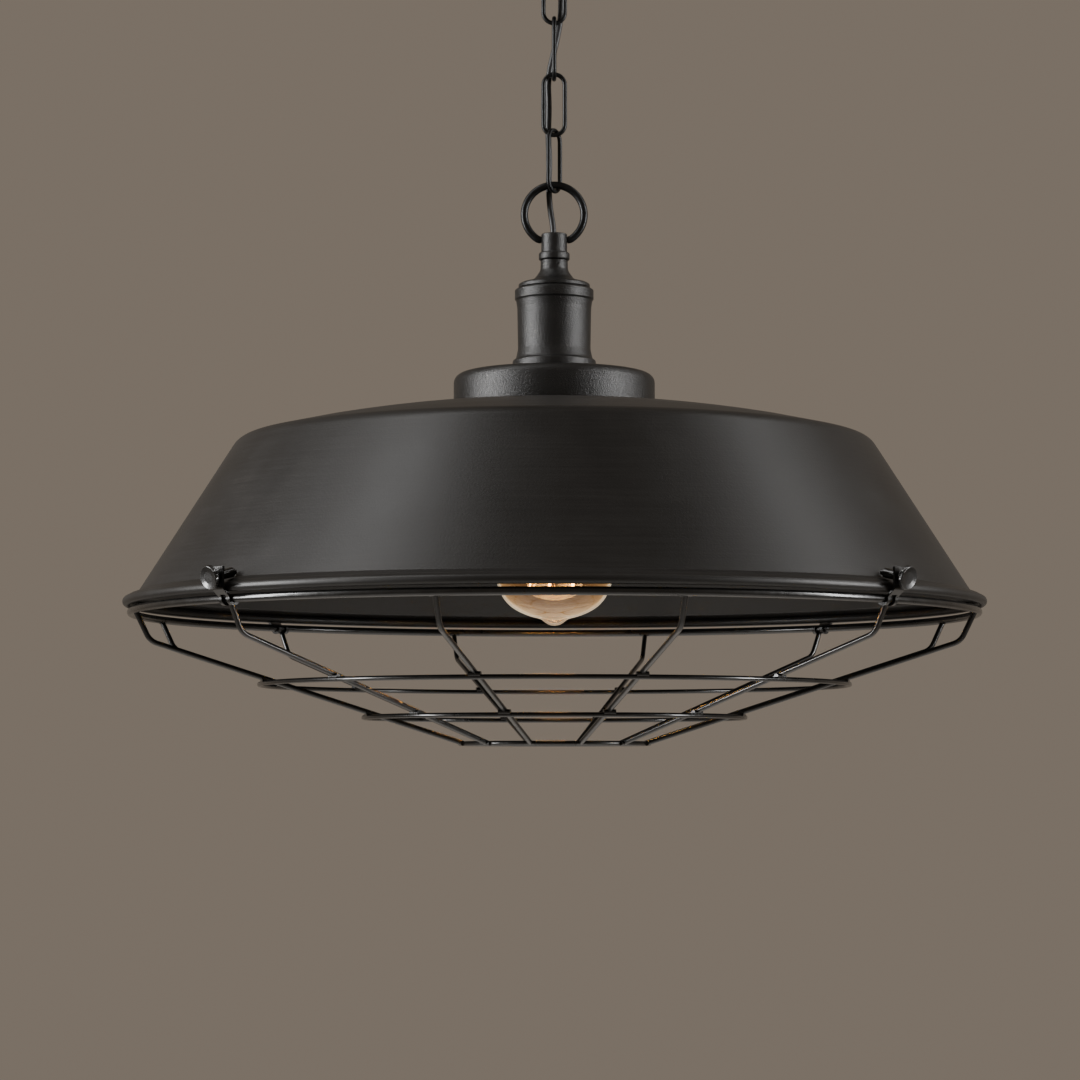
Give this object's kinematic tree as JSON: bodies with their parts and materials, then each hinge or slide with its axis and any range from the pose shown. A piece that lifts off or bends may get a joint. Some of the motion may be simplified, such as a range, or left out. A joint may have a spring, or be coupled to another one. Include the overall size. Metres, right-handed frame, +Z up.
{
  "type": "pendant ceiling light",
  "caption": "Barn pendant light: a wide conical shade with a domed top and a wire guard, hung by a chain and a ring from a round ceiling cover, with a filament bulb.",
  "frame": {"origin": "centre of the ceiling face of the mounting bracket", "axes": "+Z up towards the ceiling; the lamp hangs along -Z; the loop ring lies in the XZ plane"},
  "size_m": [0.46, 0.46, 0.4802],
  "materials": {
    "shade_black": "satin charcoal black paint",
    "cast_black": "fine textured black powder coat",
    "wire_black": "semi-gloss black",
    "chain_black": "dark gunmetal black",
    "zinc_steel": "zinc plated",
    "porcelain": "glazed",
    "brass": "plain",
    "bulb_nickel": "plated",
    "black_insulator": "black glass",
    "solder": "solder",
    "clear_glass": "clear, faintly amber",
    "support_wire": "plain wire",
    "filament": "glowing",
    "cord_black": "smooth black PVC"
  },
  "bodies": {
    "ceiling_fitting": {"ceiling_bracket": "zinc_steel", "canopy": "chain_black", "canopy_loop": "chain_black", "cord_bush": "cord_black", "supply_cord": "cord_black"},
    "link_1": {"chain_link_1": "chain_black"},
    "link_2": {"chain_link_2": "chain_black"},
    "link_3": {"chain_link_3": "chain_black"},
    "link_4": {"chain_link_4": "chain_black"},
    "ring": {"loop_ring": "chain_black"},
    "lamp": {"neck": "cast_black", "lock_collar": "cast_black", "holder_cap": "cast_black", "neck_nut": "zinc_steel", "holder_cup": "cast_black", "shade_nut_ring": "zinc_steel", "socket_body": "porcelain", "socket_shell": "brass", "socket_contact": "brass", "terminal_screws": "zinc_steel", "shade": "shade_black", "shade_flange": "cast_black", "guard_ring": "wire_black", "guard_hoop_upper": "wire_black", "guard_hoop_lower": "wire_black", "guard_hoop_end": "wire_black", "guard_rib_01": "wire_black", "guard_rib_02": "wire_black", "guard_rib_03": "wire_black", "guard_rib_04": "wire_black", "guard_rib_05": "wire_black", "guard_rib_06": "wire_black", "guard_rib_07": "wire_black", "guard_rib_08": "wire_black", "guard_rib_09": "wire_black", "guard_rib_10": "wire_black", "guard_rib_11": "wire_black", "guard_rib_12": "wire_black"},
    "clamp_1": {"clamp_bracket_1": "wire_black"},
    "stud_1": {"thumb_stud_1": "wire_black"},
    "knob_1": {"thumb_knob_1": "wire_black"},
    "clamp_2": {"clamp_bracket_2": "wire_black"},
    "stud_2": {"thumb_stud_2": "wire_black"},
    "knob_2": {"thumb_knob_2": "wire_black"},
    "clamp_3": {"clamp_bracket_3": "wire_black"},
    "stud_3": {"thumb_stud_3": "wire_black"},
    "knob_3": {"thumb_knob_3": "wire_black"},
    "clamp_4": {"clamp_bracket_4": "wire_black"},
    "stud_4": {"thumb_stud_4": "wire_black"},
    "knob_4": {"thumb_knob_4": "wire_black"},
    "bulb_base": {"bulb_insulator": "black_insulator", "bulb_contact": "solder"},
    "bulb": {"bulb_cap": "bulb_nickel", "bulb_glass": "clear_glass", "bulb_stem": "clear_glass", "bulb_supports": "support_wire", "bulb_filament": "filament"}
  },
  "joints": [
    {"name": "link_1_swing", "type": "hinge", "parent": "ceiling_fitting", "child": "link_1", "pos_m": [0, 0, -0.057], "axis": [0, 1, 0], "range_deg": [-12, 12], "deforming": ["supply_cord"]},
    {"name": "link_2_swing", "type": "hinge", "parent": "link_1", "child": "link_2", "pos_m": [0, 0, -0.0871], "axis": [1, 0, 0], "range_deg": [-12, 12], "deforming": ["supply_cord"]},
    {"name": "link_3_swing", "type": "hinge", "parent": "link_2", "child": "link_3", "pos_m": [0, 0, -0.118], "axis": [0, 1, 0], "range_deg": [-12, 12], "deforming": ["supply_cord"]},
    {"name": "link_4_swing", "type": "hinge", "parent": "link_3", "child": "link_4", "pos_m": [0, 0, -0.1489], "axis": [1, 0, 0], "range_deg": [-12, 12], "deforming": ["supply_cord"]},
    {"name": "ring_swing", "type": "hinge", "parent": "link_4", "child": "ring", "pos_m": [0, 0, -0.1798], "axis": [0.5446, 0.8387, 0], "range_deg": [-12, 12], "deforming": ["supply_cord"]},
    {"name": "lamp_swing", "type": "hinge", "parent": "ring", "child": "lamp", "pos_m": [0, 0, -0.2064], "axis": [1, 0, 0], "range_deg": [-20, 20], "deforming": ["supply_cord"]},
    {"name": "clamp_1_open", "type": "hinge", "parent": "lamp", "child": "clamp_1", "pos_m": [0.15938, 0.15938, -0.41], "axis": [-0.7071, 0.7071, 0], "range_deg": [0, 70]},
    {"name": "stud_1_travel", "type": "slide", "parent": "clamp_1", "child": "stud_1", "axis": [0.689, 0.689, -0.225], "range_m": [0, 0.0039]},
    {"name": "knob_1_turn", "type": "hinge", "parent": "stud_1", "child": "knob_1", "pos_m": [0.1644, 0.1644, -0.3992], "axis": [0.689, 0.689, -0.225], "range_deg": [0, 2050]},
    {"name": "clamp_2_open", "type": "hinge", "parent": "lamp", "child": "clamp_2", "pos_m": [-0.15938, 0.15938, -0.41], "axis": [-0.7071, -0.7071, 0], "range_deg": [0, 70]},
    {"name": "stud_2_travel", "type": "slide", "parent": "clamp_2", "child": "stud_2", "axis": [-0.689, 0.689, -0.225], "range_m": [0, 0.0039]},
    {"name": "knob_2_turn", "type": "hinge", "parent": "stud_2", "child": "knob_2", "pos_m": [-0.1644, 0.1644, -0.3992], "axis": [-0.689, 0.689, -0.225], "range_deg": [0, 2050]},
    {"name": "clamp_3_open", "type": "hinge", "parent": "lamp", "child": "clamp_3", "pos_m": [-0.15938, -0.15938, -0.41], "axis": [0.7071, -0.7071, 0], "range_deg": [0, 70]},
    {"name": "stud_3_travel", "type": "slide", "parent": "clamp_3", "child": "stud_3", "axis": [-0.689, -0.689, -0.225], "range_m": [0, 0.0039]},
    {"name": "knob_3_turn", "type": "hinge", "parent": "stud_3", "child": "knob_3", "pos_m": [-0.1644, -0.1644, -0.3992], "axis": [-0.689, -0.689, -0.225], "range_deg": [0, 2050]},
    {"name": "clamp_4_open", "type": "hinge", "parent": "lamp", "child": "clamp_4", "pos_m": [0.15938, -0.15938, -0.41], "axis": [0.7071, 0.7071, 0], "range_deg": [0, 70]},
    {"name": "stud_4_travel", "type": "slide", "parent": "clamp_4", "child": "stud_4", "axis": [0.689, -0.689, -0.225], "range_m": [0, 0.0039]},
    {"name": "knob_4_turn", "type": "hinge", "parent": "stud_4", "child": "knob_4", "pos_m": [0.1644, -0.1644, -0.3992], "axis": [0.689, -0.689, -0.225], "range_deg": [0, 2050]},
    {"name": "bulb_travel", "type": "slide", "parent": "lamp", "child": "bulb_base", "axis": [0, 0, -1], "range_m": [0, 0.0217]},
    {"name": "bulb_turn", "type": "hinge", "parent": "bulb_base", "child": "bulb", "pos_m": [0, 0, -0.2727], "axis": [0, 0, -1], "range_deg": [0, 2160]}
  ],
  "couplings": [
    {"joint": "knob_1_turn", "follows": "stud_1_travel", "rad_per_m": 8976},
    {"joint": "knob_2_turn", "follows": "stud_2_travel", "rad_per_m": 8976},
    {"joint": "knob_3_turn", "follows": "stud_3_travel", "rad_per_m": 8976},
    {"joint": "knob_4_turn", "follows": "stud_4_travel", "rad_per_m": 8976},
    {"joint": "bulb_turn", "follows": "bulb_travel", "rad_per_m": 1731.4}
  ]
}
